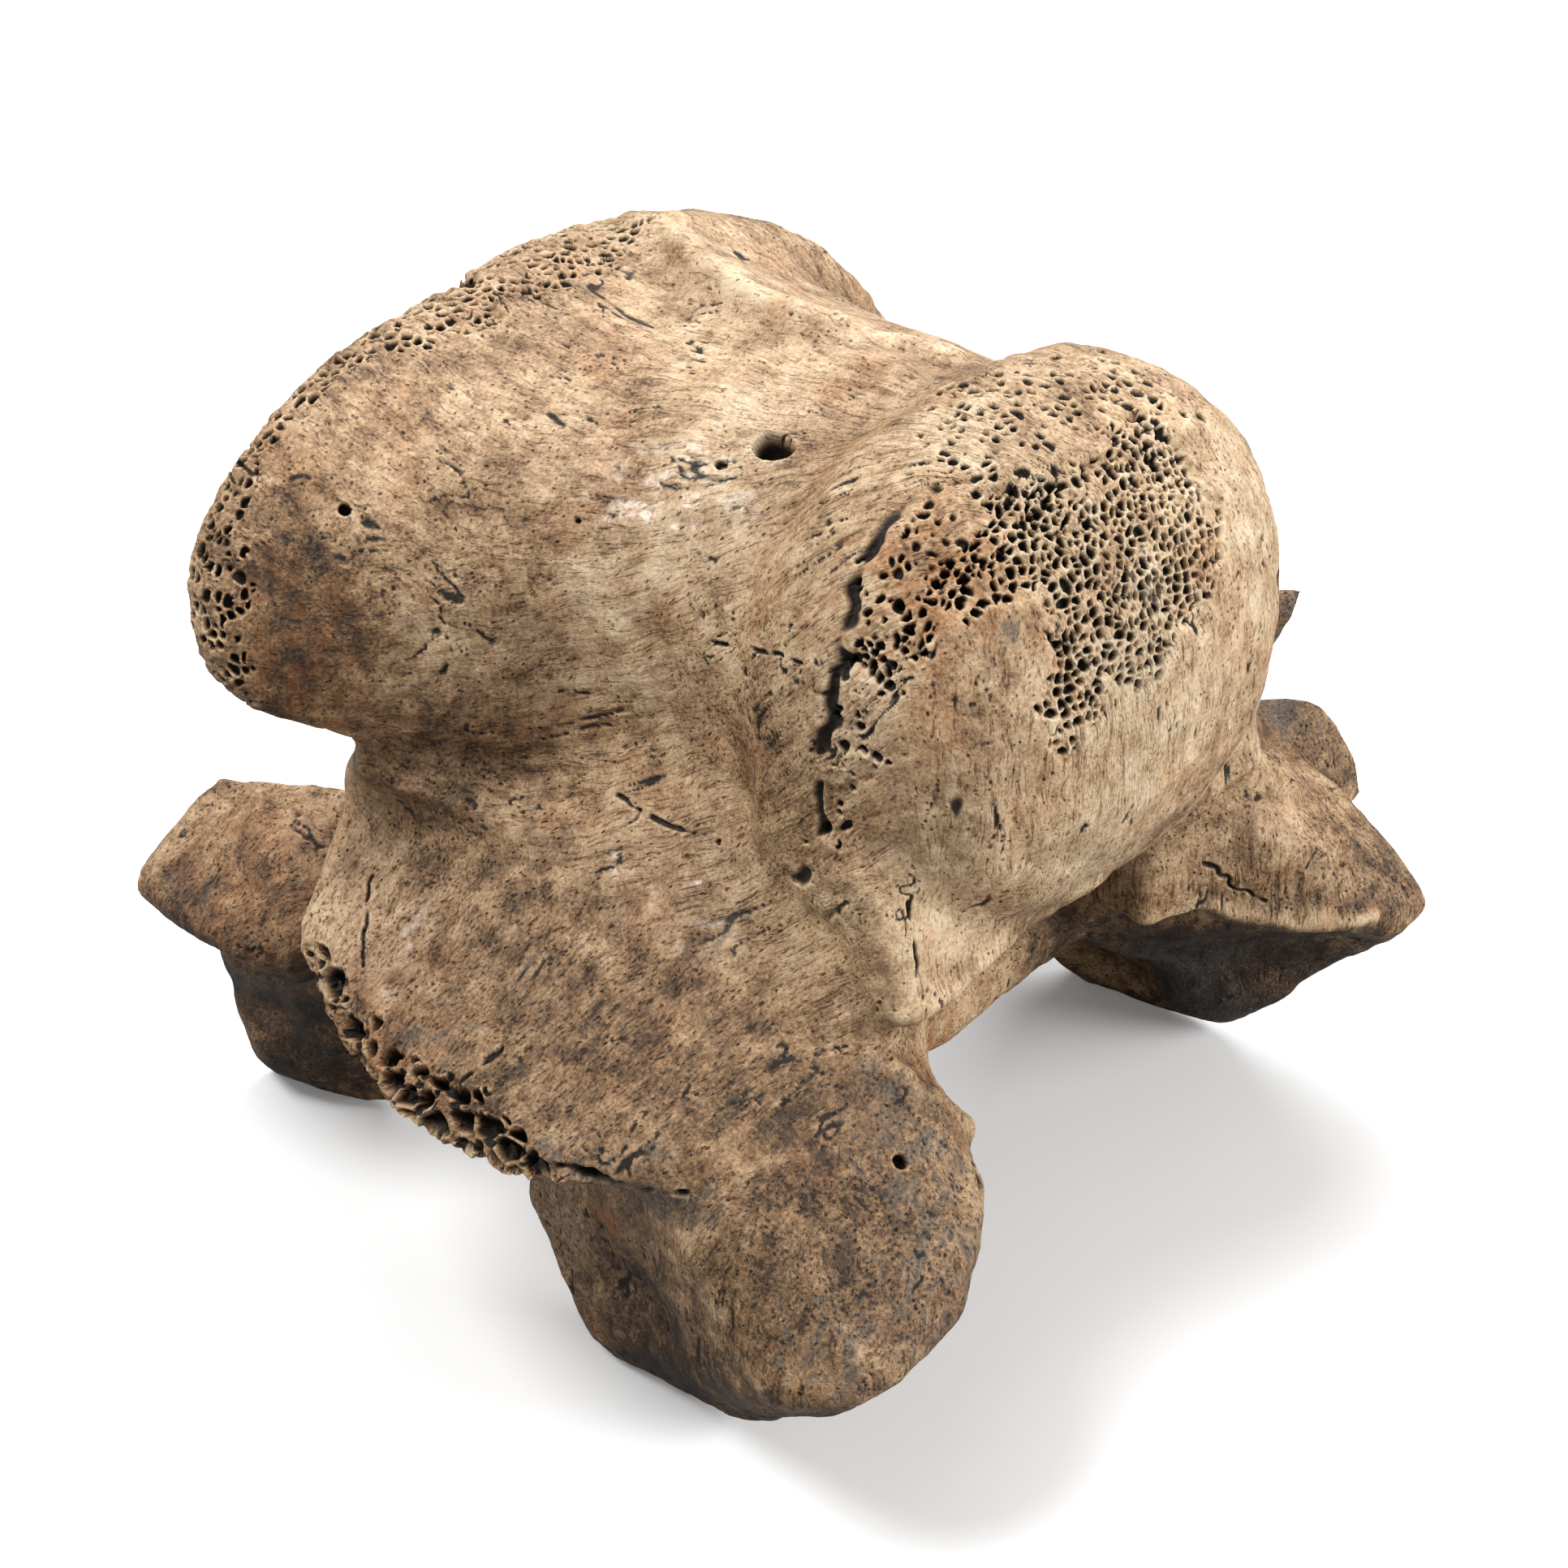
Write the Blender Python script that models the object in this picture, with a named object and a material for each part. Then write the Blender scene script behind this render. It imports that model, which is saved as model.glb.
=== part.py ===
# Fossil bison vertebra: the last neck vertebra, lying on its arch with the body of the bone upwards.
# X runs across the bone (its left side is -X), Y runs from the head end (-Y) to the tail end (+Y), +Z is up.
# The whole bone is modelled in one piece, then parted by thin cuts where its parts are named.

import math

import bmesh
import bpy
import numpy as np
from mathutils import Euler, Vector

MM = 0.001

# Driving dimensions of the bone, in millimetres.
RIM_HALF_WIDTH = 61.5
RIM_RISE = 28.5
RIM_DROP = 20.5
RIM_Y = 45.0
RIM_Z = 83.0
RIM_SAG = 10.0
RIM_TILT = math.radians(13.0)
HEAD_HALF_WIDTH = 35.0
HEAD_HALF_HEIGHT = 30.0
HEAD_Z = 84.5
HEAD_TIP_Y = -50.0
WAIST_HALF_WIDTH = 32.0
CREST_Z = 112.0
CANAL_HALF_WIDTH = 20.0
CANAL_HALF_HEIGHT = 10.5
CANAL_Z = 43.0

# Making of the mesh.
VOXEL = 1.4 * MM
SMOOTH_STEPS = 10
TRIANGLES = 7600
CUT = 0.3
LOFT_SIDES = 48

# Looks of the plain solids.
PALE_BONE = (0.42, 0.30, 0.19)
DARK_BONE = (0.27, 0.19, 0.12)
PALE_PIECES = ("cranial_head", "caudal_rim", "ventral_crest", "vertebral_body")


def clear_scene():
    """Remove every object, so that the script starts from an empty scene."""
    for thing in list(bpy.data.objects):
        bpy.data.objects.remove(thing, do_unlink=True)


def make_object(name, mesh_builder):
    """Put a bmesh built in millimetres into a new object, in metres, with its faces pointing out."""
    bmesh.ops.scale(mesh_builder, vec=(MM, MM, MM), verts=mesh_builder.verts)
    bmesh.ops.recalc_face_normals(mesh_builder, faces=mesh_builder.faces)
    mesh = bpy.data.meshes.new(name)
    mesh_builder.to_mesh(mesh)
    mesh_builder.free()
    thing = bpy.data.objects.new(name, mesh)
    bpy.context.scene.collection.objects.link(thing)
    return thing


def hull(name, corners):
    """A faceted mass: the convex hull of its corner points."""
    builder = bmesh.new()
    for corner in corners:
        builder.verts.new(corner)
    found = bmesh.ops.convex_hull(builder, input=builder.verts)
    inside = [item for item in found["geom_interior"] if isinstance(item, bmesh.types.BMVert)]
    bmesh.ops.delete(builder, geom=inside, context="VERTS")
    return make_object(name, builder)


def ellipsoid(name, centre, radii, turn=(0.0, 0.0, 0.0)):
    """An ellipsoid with its radii along its own axes, which are turned by Euler angles in degrees."""
    builder = bmesh.new()
    bmesh.ops.create_icosphere(builder, subdivisions=4, radius=1.0)
    matrix = Euler([math.radians(angle) for angle in turn]).to_matrix()
    for vertex in builder.verts:
        stretched = Vector([vertex.co[axis] * radii[axis] for axis in range(3)])
        vertex.co = matrix @ stretched + Vector(centre)
    return make_object(name, builder)


def ring(centre, half_across, half_up, power=2.2, drop=1.0, sag=0.0):
    """Points of a superellipse; drop stretches its lower half and sag lowers its right side."""
    angles = np.linspace(0.0, 2.0 * math.pi, LOFT_SIDES, endpoint=False)
    across = np.sign(np.cos(angles)) * np.abs(np.cos(angles)) ** (2.0 / power)
    up = np.sign(np.sin(angles)) * np.abs(np.sin(angles)) ** (2.0 / power)
    up = np.where(up < 0.0, up * drop, up)
    lowered = np.outer(np.maximum(across, 0.0) ** 2, (0.0, 0.0, -sag))
    return np.array(centre) + np.outer(across, half_across) + np.outer(up, half_up) + lowered


def loft(name, rings):
    """A closed body through a row of rings, with flat caps on the first and the last."""
    builder = bmesh.new()
    loops = [[builder.verts.new(point) for point in points] for points in rings]
    for first, second in zip(loops, loops[1:]):
        for i in range(LOFT_SIDES):
            j = (i + 1) % LOFT_SIDES
            builder.faces.new((first[i], first[j], second[j], second[i]))
    builder.faces.new(loops[0])
    builder.faces.new(reversed(loops[-1]))
    return make_object(name, builder)


def box(name, low, high, grow, turn=0.0):
    """A box between two corners, grown by a distance on every side and tipped about X at its middle."""
    builder = bmesh.new()
    bmesh.ops.create_cube(builder, size=1.0)
    low = Vector(low)
    high = Vector(high)
    matrix = Euler((math.radians(turn), 0.0, 0.0)).to_matrix()
    for vertex in builder.verts:
        stretched = Vector([vertex.co[axis] * (high[axis] - low[axis] + 2.0 * grow) for axis in range(3)])
        vertex.co = matrix @ stretched + (low + high) / 2.0
    return make_object(name, builder)


def mirrored(corners):
    """The same corners on the bone's right side."""
    return [(-x, y, z) for x, y, z in corners]


def both_sides(name, corners):
    """A hull on the left side and its mirror image on the right."""
    return [hull(name + "_left", corners), hull(name + "_right", mirrored(corners))]


def body_ring(y, z, half_width, rise, drop, tilt=0.0, power=2.3, sag=0.0):
    """A cross-section of the bone's body, with its top leaning towards the tail by the tilt."""
    up = (0.0, rise * math.sin(tilt), rise * math.cos(tilt))
    return ring((0.0, y, z), (half_width, 0.0, 0.0), up, power, drop / rise, sag)


def vertebral_body():
    """The body: a wide rim at the tail end, a narrow waist and the rounded head at the other end."""
    width = HEAD_HALF_WIDTH
    height = HEAD_HALF_HEIGHT
    rings = [
        body_ring(RIM_Y + 1.0, RIM_Z, RIM_HALF_WIDTH - 1.0, RIM_RISE - 1.0, RIM_DROP - 1.0, RIM_TILT, sag=RIM_SAG),
        body_ring(RIM_Y - 6.0, RIM_Z, RIM_HALF_WIDTH, RIM_RISE, RIM_DROP, RIM_TILT, sag=RIM_SAG),
        body_ring(32.0, 82.0, RIM_HALF_WIDTH - 11.0, 27.0, 25.0, 0.15, sag=RIM_SAG),
        body_ring(22.0, 81.0, 43.0, 27.0, 29.0, 0.1, sag=4.0),
        body_ring(10.0, 81.0, WAIST_HALF_WIDTH + 3.0, 28.0, 29.0, 0.05),
        body_ring(-2.0, 82.0, WAIST_HALF_WIDTH, 28.0, 29.0),
        body_ring(-11.0, 84.0, WAIST_HALF_WIDTH, height - 5.0, height),
        body_ring(-18.0, HEAD_Z, width + 0.5, height, height),
        body_ring(-27.0, HEAD_Z, width + 0.5, height, height, power=2.5),
        body_ring(-36.0, HEAD_Z - 0.5, width - 1.0, height - 2.0, height - 2.0, power=2.5),
        body_ring(-43.0, HEAD_Z - 1.5, width - 7.0, height - 8.0, height - 8.0, power=2.4),
        body_ring(-48.0, HEAD_Z - 2.0, width - 17.0, height - 17.0, height - 17.0),
        body_ring(HEAD_TIP_Y, HEAD_Z - 2.0, 5.0, 5.0, 5.0),
    ]
    rim = [
        (36, -39.5, 55), (34, -18, 52), (36, -36, 72), (36, -18, 80),
        (-36, -39.5, 55), (-34, -18, 52), (-37, -36, 72), (-37, -18, 80),
    ]
    base = [
        (45, 39, 61), (50, 32, 65), (25, 42, 53), (32, -14, 60), (25, -18, 53), (20, 44, 75),
        (-45, 39, 61), (-50, 32, 65), (-25, 42, 53), (-32, -14, 60), (-25, -18, 53), (-20, 44, 75),
    ]
    return [loft("body", rings), hull("head_rim", rim), hull("body_base", base)]


def ventral_crest():
    """The keel along the top of the body, leaning a little to the right at its tail end."""
    ridge = [(18, 49, 110.5), (10, 30, 111), (5, 12, 112), (0, -10, CREST_Z)]
    foot = [(30, 46, 98), (-6, 46, 100), (18, 8, 98), (-14, 8, 98), (12, -16, 104), (-12, -16, 104)]
    return [hull("crest", ridge + foot)]


def plate_ring(centre, half_length, lean, half_thickness):
    """A cross-section of a transverse plate: long in Y and thin across its slope."""
    up = (half_thickness * math.sin(lean), 0.0, half_thickness * math.cos(lean))
    return ring(centre, (0.0, half_length, 0.0), up, 2.4)


def transverse_plates():
    """The two sloping side plates, the left one broken along an edge and the right one to a spur."""
    left = [
        plate_ring((-8, 5, 72), 26, 0.0, 30),
        plate_ring((-24, 5, 66), 27, 0.1, 24),
        plate_ring((-34, 5, 59), 28, 0.2, 18.5),
        plate_ring((-42, 5, 53), 31, 0.3, 12.5),
        plate_ring((-50, 5, 48.5), 35, 0.4, 9),
        plate_ring((-58, 3, 45), 33, 0.4, 6.5),
        plate_ring((-65, 1, 42.5), 20, 0.4, 4.5),
        plate_ring((-68.5, -2, 41.5), 11, 0.4, 3.5),
    ]
    right = [
        plate_ring((8, 5, 72), 26, 0.0, 30),
        plate_ring((24, 5, 66), 27, -0.1, 24),
        plate_ring((34, 5, 59), 28, -0.2, 18.5),
        plate_ring((42, 4, 53), 30, -0.3, 12.5),
        plate_ring((50, 0, 48.5), 28, -0.4, 9),
        plate_ring((56, -4, 46), 22, -0.4, 7),
    ]
    spur = [
        (63, -28, 66), (64, -23, 62), (54, -25, 59), (45, -8, 61), (53, -26, 51), (44, -22, 48), (50, -10, 48),
    ]
    root = [
        (66, -28, 48), (70, -31, 38), (67, -38, 32), (58, -10, 42), (44, -22, 47), (46, -8, 36),
    ]
    return [
        loft("plate_left", left), loft("plate_right", right),
        hull("spur_right", spur), hull("spur_root", root),
    ]


def shoulders():
    """The bone that joins each plate's front end to the joint process below it."""
    corners = [
        (-60, -27, 40), (-57, -37, 40), (-44, -37, 48), (-36, -37, 53),
        (-37, -16, 62), (-55, -6, 51), (-50, -18, 34), (-30, -30, 40),
    ]
    return both_sides("shoulder", corners)


def pedicles():
    """The walls at the sides of the canal, from the body down to the arch."""
    corners = [
        (-45, 40, 61), (-46, 40, 54), (-47, 41, 43), (-21, 42, 62), (-22, 42, 32),
        (-36, -34, 60), (-35, -35, 48), (-31, -37, 40), (-20, -30, 60), (-21, -32, 34),
        (-40, -20, 60), (-42, -24, 44),
    ]
    return both_sides("pedicle", corners)


def laminae():
    """The roof of the arch, which lies lowest here, with a straight edge at the head end."""
    corners = [
        (1, -20, 32.5), (-23, -21, 33.5), (-27, 46, 33), (1, 44, 33),
        (1, -20, 24), (-23, -20, 25), (-28, 46, 14), (1, 44, 16),
    ]
    return both_sides("lamina", corners)


def front_joint_processes():
    """The joint processes at the head end: thick tongues whose lower ridges rest on the floor."""
    shared = [
        (-50, -27, 0), (-51, -3, 0), (-46, -6, 0), (-49, 8, 14), (-46, 9, 36), (-25, 5, 27),
        (-44, -35, 47), (-34, -38, 49), (-58, -36, 41), (-60, -24, 39), (-64, -46, 25),
    ]
    left = [
        (-14, -24, 31), (-20, -36, 34), (-33, -50, 37), (-46, -56, 33), (-57, -54, 28),
        (-43, -54, 19), (-50, -51, 16),
    ]
    right = [
        (20, -20, 32), (27, -30, 35), (32, -39, 35), (44, -49, 33), (58, -53, 28),
        (45, -49, 24), (54, -47, 20),
    ]
    return [hull("front_process_left", shared + left), hull("front_process_right", mirrored(shared) + right)]


def rear_joint_processes():
    """The joint processes at the tail end: a tongue with its joint face up and out, on a stem down to the floor."""
    tongue = [
        (-56, 69, 35.5), (-50, 76, 32), (-38, 73, 43.5), (-34, 50, 50), (-57, 52, 35), (-50, 42, 35),
        (-50, 68, 29), (-36, 66, 35), (-28, 44, 34), (-49, 46, 27),
    ]
    stem = [
        (-46, 68, 25), (-45, 65, 32), (-30, 66, 37), (-24, 38, 37), (-45, 46, 33),
        (-41, 67, 0), (-36, 46, 0), (-33, 60, 0), (-26, 42, 12), (-45, 58, 6),
    ]
    return both_sides("rear_tongue", tongue) + both_sides("rear_stem", stem)


def spinous_stub():
    """The base of the spine, broken off short under the arch."""
    corners = [(7, 2, 24), (-7, 2, 24), (7, 42, 22), (-7, 42, 22), (4, 12, 4), (-4, 12, 4), (4, 38, 3), (-4, 38, 3)]
    return [hull("spine", corners)]


def hollows():
    """The shapes taken out of the bone: canal, tail-end hollow, joint faces and the hollows of the sides."""
    canal_rings = [
        ring((0, y, z), (CANAL_HALF_WIDTH, 0, 0), (0, 0, CANAL_HALF_HEIGHT), 2.2)
        for y, z in ((-70, CANAL_Z + 2), (10, CANAL_Z), (70, CANAL_Z + 2))
    ]
    cutters = [
        loft("canal", canal_rings),
        ellipsoid("tail_hollow", (0, 63, 84), (48, 26, 27)),
    ]
    for side in (-1, 1):
        cutters += [
            ellipsoid("front_side_hollow", (side * 76, -12, 17), (22, 27, 19)),
            ellipsoid("front_face_hollow", (side * 32, -43, 9), (34, 18, 22), (0, 0, -38 * side)),
            ellipsoid("front_notch", (side * 30, -16, 0), (16, 16, 22)),
            ellipsoid("rear_side_hollow", (side * 58, 58, 14), (15, 24, 12)),
            ellipsoid("rear_face_hollow", (side * 57, 69, 60), (20, 16, 22)),
        ]
    return cutters


def add_modifier(thing, kind, **values):
    """A modifier of the kind given, with its values set."""
    modifier = thing.modifiers.new(kind.lower(), kind)
    for key, value in values.items():
        setattr(modifier, key, value)
    return modifier


def apply_modifiers(thing):
    """Replace the object's mesh by the one its modifiers give."""
    evaluated = thing.evaluated_get(bpy.context.evaluated_depsgraph_get())
    mesh = bpy.data.meshes.new_from_object(evaluated)
    thing.modifiers.clear()
    thing.data = mesh


def joined(name, pieces):
    """One object that holds the faces of all the pieces, which are removed."""
    builder = bmesh.new()
    for piece in pieces:
        builder.from_mesh(piece.data)
        bpy.data.objects.remove(piece, do_unlink=True)
    mesh = bpy.data.meshes.new(name)
    builder.to_mesh(mesh)
    builder.free()
    thing = bpy.data.objects.new(name, mesh)
    bpy.context.scene.collection.objects.link(thing)
    return thing


def whole_bone():
    """The whole bone as one smooth closed surface."""
    masses = vertebral_body() + ventral_crest() + transverse_plates() + pedicles() + laminae()
    masses += shoulders() + front_joint_processes() + rear_joint_processes() + spinous_stub()
    bone = joined("bone", masses)
    add_modifier(bone, "REMESH", mode="VOXEL", voxel_size=VOXEL)
    apply_modifiers(bone)
    taken = joined("taken", hollows())
    add_modifier(taken, "REMESH", mode="VOXEL", voxel_size=VOXEL)
    apply_modifiers(taken)
    add_modifier(bone, "BOOLEAN", operation="DIFFERENCE", object=taken, solver="MANIFOLD")
    add_modifier(bone, "REMESH", mode="VOXEL", voxel_size=VOXEL)
    add_modifier(bone, "SMOOTH", factor=0.5, iterations=SMOOTH_STEPS)
    apply_modifiers(bone)
    bpy.data.objects.remove(taken, do_unlink=True)
    bone.data.calc_loop_triangles()
    add_modifier(bone, "DECIMATE", ratio=TRIANGLES / len(bone.data.loop_triangles))
    apply_modifiers(bone)
    return bone


def cut_by(thing, cutter, operation):
    """Apply one Boolean of the cutter to the object and remove the cutter."""
    add_modifier(thing, "BOOLEAN", operation=operation, object=cutter, solver="EXACT")
    apply_modifiers(thing)
    bpy.data.objects.remove(cutter, do_unlink=True)


def islands(builder):
    """The separate closed surfaces of a bmesh, each as a list of faces."""
    waiting = set(builder.faces)
    found = []
    while waiting:
        island = [waiting.pop()]
        for face in island:
            for edge in face.edges:
                near = [other for other in edge.link_faces if other in waiting]
                waiting.difference_update(near)
                island.extend(near)
        found.append(island)
    return found


def keep_largest(thing):
    """Drop every closed surface of the mesh but the one with the largest area."""
    builder = bmesh.new()
    builder.from_mesh(thing.data)
    found = sorted(islands(builder), key=lambda faces: sum(face.calc_area() for face in faces))
    scraps = [face for island in found[:-1] for face in island]
    bmesh.ops.delete(builder, geom=scraps, context="FACES")
    bmesh.ops.triangulate(builder, faces=builder.faces)
    builder.to_mesh(thing.data)
    builder.free()


def part_off(bone, name, low, high, turn=0.0):
    """Part a named piece off the bone where a box holds it, with a thin cut between the two."""
    piece = bone.copy()
    piece.data = bone.data.copy()
    piece.name = name
    bpy.context.scene.collection.objects.link(piece)
    cut_by(piece, box("inside", low, high, -CUT / 2.0, turn), "INTERSECT")
    cut_by(bone, box("outside", low, high, CUT / 2.0, turn), "DIFFERENCE")
    keep_largest(piece)
    return piece


def named_parts(bone):
    """Part the bone into its named pieces; what is left of it is the roof of the arch."""
    pieces = [
        part_off(bone, "cranial_head", (-41, -80, 53), (41, -15, 140)),
        part_off(bone, "caudal_rim", (-90, 24, 54), (90, 80, 140)),
        part_off(bone, "ventral_crest", (-46, -15, 101), (46, 24, 140)),
        part_off(bone, "vertebral_body", (-46, -15, 54), (46, 24, 101)),
        part_off(bone, "transverse_process_left", (-90, -34, 34), (-40, 41, 75)),
        part_off(bone, "transverse_process_right", (40, -34, 34), (90, 41, 75)),
        part_off(bone, "prezygapophysis_left", (-90, -90, -20), (-18, 11, 43), -16),
        part_off(bone, "prezygapophysis_right", (18, -90, -20), (90, 11, 43), -16),
        part_off(bone, "postzygapophysis_left", (-90, 42, -10), (-18, 100, 54)),
        part_off(bone, "postzygapophysis_right", (18, 42, -10), (90, 100, 54)),
        part_off(bone, "pedicle_left", (-60, -60, 33), (-17, 60, 60)),
        part_off(bone, "pedicle_right", (17, -60, 33), (60, 60, 60)),
        part_off(bone, "spinous_process", (-12, -10, -10), (12, 60, 18)),
    ]
    keep_largest(bone)
    bone.name = "lamina"
    return pieces + [bone]


def bone_material(name, colour, roughness):
    """A plain bone surface."""
    material = bpy.data.materials.new(name)
    material.use_nodes = True
    shader = material.node_tree.nodes["Principled BSDF"]
    shader.inputs["Base Color"].default_value = (*colour, 1.0)
    shader.inputs["Roughness"].default_value = roughness
    return material


def colour_pieces(pieces):
    """Give each piece its own material: the body paler, the arch and its processes darker."""
    for piece in pieces:
        pale = piece.name in PALE_PIECES
        colour = PALE_BONE if pale else DARK_BONE
        piece.data.materials.clear()
        piece.data.materials.append(bone_material(piece.name + "_bone", colour, 0.55 if pale else 0.65))


def rest_on_floor(pieces):
    """Move all the pieces so that the bone stands on Z = 0 with its bounding box centred on the Z axis."""
    points = np.array([vertex.co[:] for piece in pieces for vertex in piece.data.vertices])
    low = points.min(axis=0)
    high = points.max(axis=0)
    shift = Vector((-(low[0] + high[0]) / 2.0, -(low[1] + high[1]) / 2.0, -low[2]))
    for piece in pieces:
        for vertex in piece.data.vertices:
            vertex.co += shift
    return shift


def build():
    """Model the bone, part it, colour it and set it down; returns how far it was moved."""
    clear_scene()
    pieces = named_parts(whole_bone())
    colour_pieces(pieces)
    return rest_on_floor(pieces)


moved = build()
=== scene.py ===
"""A fossil bison vertebra lying on its arch, dressed for its picture on a plain pale floor."""

import math

import bmesh
import bpy
import numpy as np
from mathutils import Matrix, Vector


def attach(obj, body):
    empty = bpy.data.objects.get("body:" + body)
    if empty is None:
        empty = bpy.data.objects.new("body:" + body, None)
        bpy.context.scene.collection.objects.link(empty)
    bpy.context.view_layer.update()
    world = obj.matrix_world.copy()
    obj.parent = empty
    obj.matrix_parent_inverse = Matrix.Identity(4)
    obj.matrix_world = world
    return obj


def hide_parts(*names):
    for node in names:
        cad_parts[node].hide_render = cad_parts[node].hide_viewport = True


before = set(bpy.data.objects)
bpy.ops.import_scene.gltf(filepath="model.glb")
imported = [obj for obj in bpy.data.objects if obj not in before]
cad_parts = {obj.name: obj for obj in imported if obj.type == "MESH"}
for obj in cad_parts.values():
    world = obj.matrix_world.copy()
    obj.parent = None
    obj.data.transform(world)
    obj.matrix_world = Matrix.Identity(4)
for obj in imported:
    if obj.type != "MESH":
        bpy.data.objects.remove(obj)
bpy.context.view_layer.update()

# The view: the camera looks down on the left side of the bone from its head end, from 0.4 m away,
# through a long lens. The picture is square.
CAMERA_PLACE = Vector((-0.256444, -0.220810, 0.269133))
CAMERA_RIGHT = Vector((0.65077422, -0.75927131, 0.0))
CAMERA_UP = Vector((0.41352879, 0.35443704, 0.83867057))
LENS_MM = 74.534
SENSOR_MM = 36.0

lens = bpy.data.cameras.new("camera")
lens.lens = LENS_MM
lens.sensor_width = SENSOR_MM
lens.clip_start = 0.01
lens.clip_end = 20.0
camera = bpy.data.objects.new("camera", lens)
turn = Matrix((CAMERA_RIGHT, CAMERA_UP, CAMERA_RIGHT.cross(CAMERA_UP))).transposed().to_4x4()
camera.matrix_world = Matrix.Translation(CAMERA_PLACE) @ turn
bpy.context.scene.collection.objects.link(camera)
bpy.context.scene.camera = camera

# The stage: a plain white sheet under the bone, three broad soft lamps, the strongest of them in front on
# the right and two high up behind, and an even white surround. The camera sees the sheet white and a little
# bright, and to the bone it is darker, so that undersides stay dark. A lamp: name, place, width in m, watts.
FLOOR_HALF = 4.0
FLOOR_WHITE = 0.95
FLOOR_BOUNCE = 0.30
FLOOR_GLOW = 0.10
SURROUND = 0.36
LAMPS = (
    ("upper left", (-0.46, 0.40, 1.08), 0.6, 12.5),
    ("back right", (0.80, 0.35, 0.90), 0.7, 9.0),
    ("front right", (0.50, -1.20, 0.62), 0.8, 19.0),
)
AIM = Vector((0.0, 0.0, 0.05))

corners = [(-FLOOR_HALF, -FLOOR_HALF, 0.0), (FLOOR_HALF, -FLOOR_HALF, 0.0)]
corners += [(FLOOR_HALF, FLOOR_HALF, 0.0), (-FLOOR_HALF, FLOOR_HALF, 0.0)]
sheet = bpy.data.meshes.new("floor")
sheet.from_pydata(corners, [], [(0, 1, 2, 3)])
floor = bpy.data.objects.new("floor", sheet)
bpy.context.scene.collection.objects.link(floor)
white = bpy.data.materials.new("white sheet")
white.use_nodes = True
paper = white.node_tree.nodes["Principled BSDF"]
paper.inputs["Roughness"].default_value = 0.9
paper.inputs["Specular IOR Level"].default_value = 0.1
seen = white.node_tree.nodes.new("ShaderNodeLightPath")
brightness = white.node_tree.nodes.new("ShaderNodeMapRange")
brightness.inputs["To Min"].default_value = FLOOR_BOUNCE
brightness.inputs["To Max"].default_value = FLOOR_WHITE
white.node_tree.links.new(seen.outputs["Is Camera Ray"], brightness.inputs["Value"])
white.node_tree.links.new(brightness.outputs["Result"], paper.inputs["Base Color"])
white.node_tree.links.new(seen.outputs["Is Camera Ray"], paper.inputs["Emission Color"])
paper.inputs["Emission Strength"].default_value = FLOOR_GLOW
sheet.materials.append(white)

for name, place, size, power in LAMPS:
    light = bpy.data.lights.new(name, "AREA")
    light.shape = "DISK"
    light.size = size
    light.energy = power
    lamp = bpy.data.objects.new(name, light)
    lamp.location = place
    lamp.rotation_euler = (AIM - Vector(place)).to_track_quat("-Z", "Y").to_euler()
    bpy.context.scene.collection.objects.link(lamp)

surround = bpy.data.worlds.new("surround")
surround.use_nodes = True
surround.node_tree.nodes["Background"].inputs["Color"].default_value = (1.0, 1.0, 1.0, 1.0)
surround.node_tree.nodes["Background"].inputs["Strength"].default_value = SURROUND
bpy.context.scene.world = surround
bpy.context.scene.view_settings.view_transform = "Standard"

# The bone: one weathered skin over all its parts. It is grown over copies of the solids, so that the thin
# cuts between them close, then smoothed, and made dense where the relief is fine: all over the side that the
# camera sees, and most of all at the open spongy places, holes and cracks. The sizes here are in millimetres.
TO_MM = 1000.0
CLOSING = 0.35
GRID = 0.8
EVEN_STEPS = 12
WELD = 1e-6
EVEN_AGAIN_STEPS = 3
COARSE_EDGE = 1.2
MIDDLE_EDGE = 0.6
FINE_EDGE = 0.3
FINE_ROUND_PLACES = 0.6
FINE_ROUND_HOLES = 1.5
FINE_ROUND_LINES = 1.6


def mesh_arrays(mesh):
    """The points of a mesh in millimetres, and its triangles."""
    points = np.empty(len(mesh.vertices) * 3, np.float32)
    mesh.vertices.foreach_get("co", points)
    mesh.calc_loop_triangles()
    faces = np.empty(len(mesh.loop_triangles) * 3, np.int32)
    mesh.loop_triangles.foreach_get("vertices", faces)
    return points.reshape(-1, 3).astype(float) * TO_MM, faces.reshape(-1, 3).astype(np.int64)


def grown_skin(nodes):
    """One closed surface around all the solids: each is pushed out along its normals by CLOSING, which shuts
    the cuts between them, and the outside of the sum is read off on a cubic grid."""
    gathered = bmesh.new()
    for node in nodes:
        gathered.from_mesh(node.data)
    bmesh.ops.remove_doubles(gathered, verts=gathered.verts, dist=WELD)
    mesh = bpy.data.meshes.new("solids")
    gathered.to_mesh(mesh)
    gathered.free()
    points = np.empty(len(mesh.vertices) * 3, np.float32)
    outward = points.copy()
    mesh.vertices.foreach_get("co", points)
    mesh.vertex_normals.foreach_get("vector", outward)
    mesh.vertices.foreach_set("co", points + outward * CLOSING / TO_MM)
    grown = bpy.data.objects.new("grown", mesh)
    bpy.context.scene.collection.objects.link(grown)
    grid = grown.modifiers.new("grid", "REMESH")
    grid.mode = "VOXEL"
    grid.voxel_size = GRID / TO_MM
    read = grown.evaluated_get(bpy.context.evaluated_depsgraph_get()).to_mesh()
    arrays = mesh_arrays(read)
    bpy.data.objects.remove(grown, do_unlink=True)
    bpy.data.meshes.remove(mesh)
    return arrays


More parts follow.
